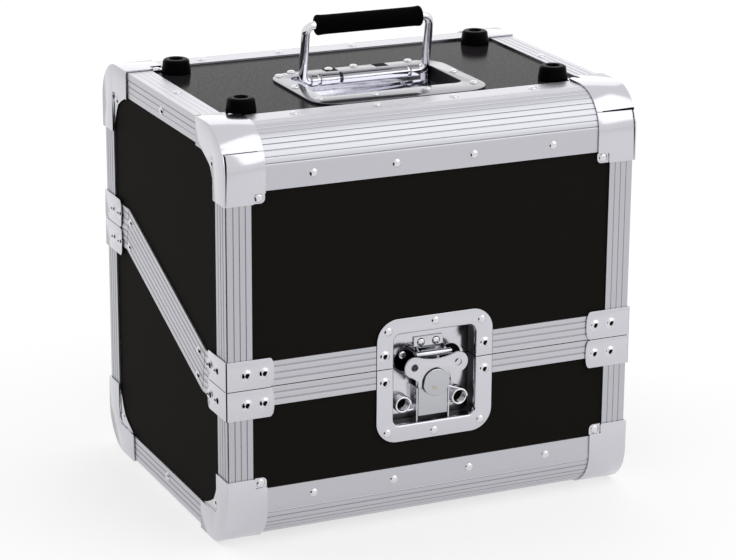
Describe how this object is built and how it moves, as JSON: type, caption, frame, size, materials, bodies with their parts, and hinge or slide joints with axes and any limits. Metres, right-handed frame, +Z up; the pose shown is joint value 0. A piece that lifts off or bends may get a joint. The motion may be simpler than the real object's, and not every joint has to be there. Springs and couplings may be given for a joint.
{
  "type": "record carrying case",
  "caption": "Rigid case for long-playing records: dark laminate panels in aluminium edge profiles, slanting split, hinged lid, recessed turn latch and folding top handle.",
  "frame": {"origin": "centre of the bounding box's footprint at the level that the bottom corner caps rest on", "axes": "+X to the right seen from the front, +Y from the latch to the hinge, +Z up"},
  "size_m": [0.371, 0.2964, 0.4091],
  "materials": {
    "laminate": "satin black laminate with a fine grain on plywood",
    "aluminium": "satin anodised",
    "chrome": "bright nickel-chrome plating on pressed steel",
    "zinc": "bright zinc-plated steel",
    "rubber": "smooth black rubber"
  },
  "bodies": {
    "base": {"base_front_panel": "laminate", "base_back_panel": "laminate", "base_left_panel": "laminate", "base_right_panel": "laminate", "base_floor_panel": "laminate", "base_front_bottom_profile": "aluminium", "base_back_bottom_profile": "aluminium", "base_left_bottom_profile": "aluminium", "base_right_bottom_profile": "aluminium", "base_front_left_post": "aluminium", "base_front_left_corner_cap": "chrome", "base_front_left_bracket": "chrome", "base_front_right_post": "aluminium", "base_front_right_corner_cap": "chrome", "base_front_right_bracket": "chrome", "base_back_left_post": "aluminium", "base_back_left_corner_cap": "chrome", "base_back_left_bracket": "chrome", "base_back_right_post": "aluminium", "base_back_right_corner_cap": "chrome", "base_back_right_bracket": "chrome", "base_closing_rim": "aluminium", "hinge_base_leaf": "zinc", "hinge_pin": "zinc", "latch_lower_dish": "chrome"},
    "lid": {"lid_front_panel": "laminate", "lid_back_panel": "laminate", "lid_left_panel": "laminate", "lid_right_panel": "laminate", "lid_top_panel": "laminate", "lid_front_top_profile": "aluminium", "lid_back_top_profile": "aluminium", "lid_left_top_profile": "aluminium", "lid_right_top_profile": "aluminium", "lid_front_left_post": "aluminium", "lid_front_left_corner_cap": "chrome", "lid_front_left_bracket": "chrome", "lid_front_right_post": "aluminium", "lid_front_right_corner_cap": "chrome", "lid_front_right_bracket": "chrome", "lid_back_left_post": "aluminium", "lid_back_left_corner_cap": "chrome", "lid_back_left_bracket": "chrome", "lid_back_right_post": "aluminium", "lid_back_right_corner_cap": "chrome", "lid_back_right_bracket": "chrome", "lid_closing_rim": "aluminium", "lid_front_left_foot": "rubber", "lid_front_right_foot": "rubber", "lid_back_left_foot": "rubber", "lid_back_right_foot": "rubber", "hinge_lid_leaf": "zinc", "latch_upper_dish": "chrome", "latch_keeper": "zinc", "handle_plate": "chrome"},
    "handle": {"handle_bail": "chrome", "handle_grip": "rubber"},
    "latch_knob": {"latch_knob": "zinc"},
    "latch_wing": {"latch_wing": "zinc"},
    "latch_hook": {"latch_hook": "zinc"}
  },
  "joints": [
    {"name": "lid_hinge", "type": "hinge", "parent": "base", "child": "lid", "pos_m": [0, 0.145, 0.211], "axis": [-1, 0, 0], "range_deg": [0, 180]},
    {"name": "handle_hinge", "type": "hinge", "parent": "lid", "child": "handle", "pos_m": [0.0032, 0.005, 0.3515], "axis": [1, 0, 0], "range_deg": [-9, 80]},
    {"name": "latch_turn", "type": "hinge", "parent": "base", "child": "latch_knob", "pos_m": [0.0014, -0.14, 0.1231], "axis": [0, 1, 0], "range_deg": [0, 180]},
    {"name": "wing_fold", "type": "hinge", "parent": "latch_knob", "child": "latch_wing", "pos_m": [0.0014, -0.1436, 0.1231], "axis": [1, 0, 0], "range_deg": [0, 90]},
    {"name": "hook_slide", "type": "slide", "parent": "base", "child": "latch_hook", "axis": [0, 0, 1], "range_m": [0, 0.006]}
  ],
  "couplings": [
    {"joint": "latch_turn", "follows": "hook_slide", "rad_per_m": 523.6}
  ]
}
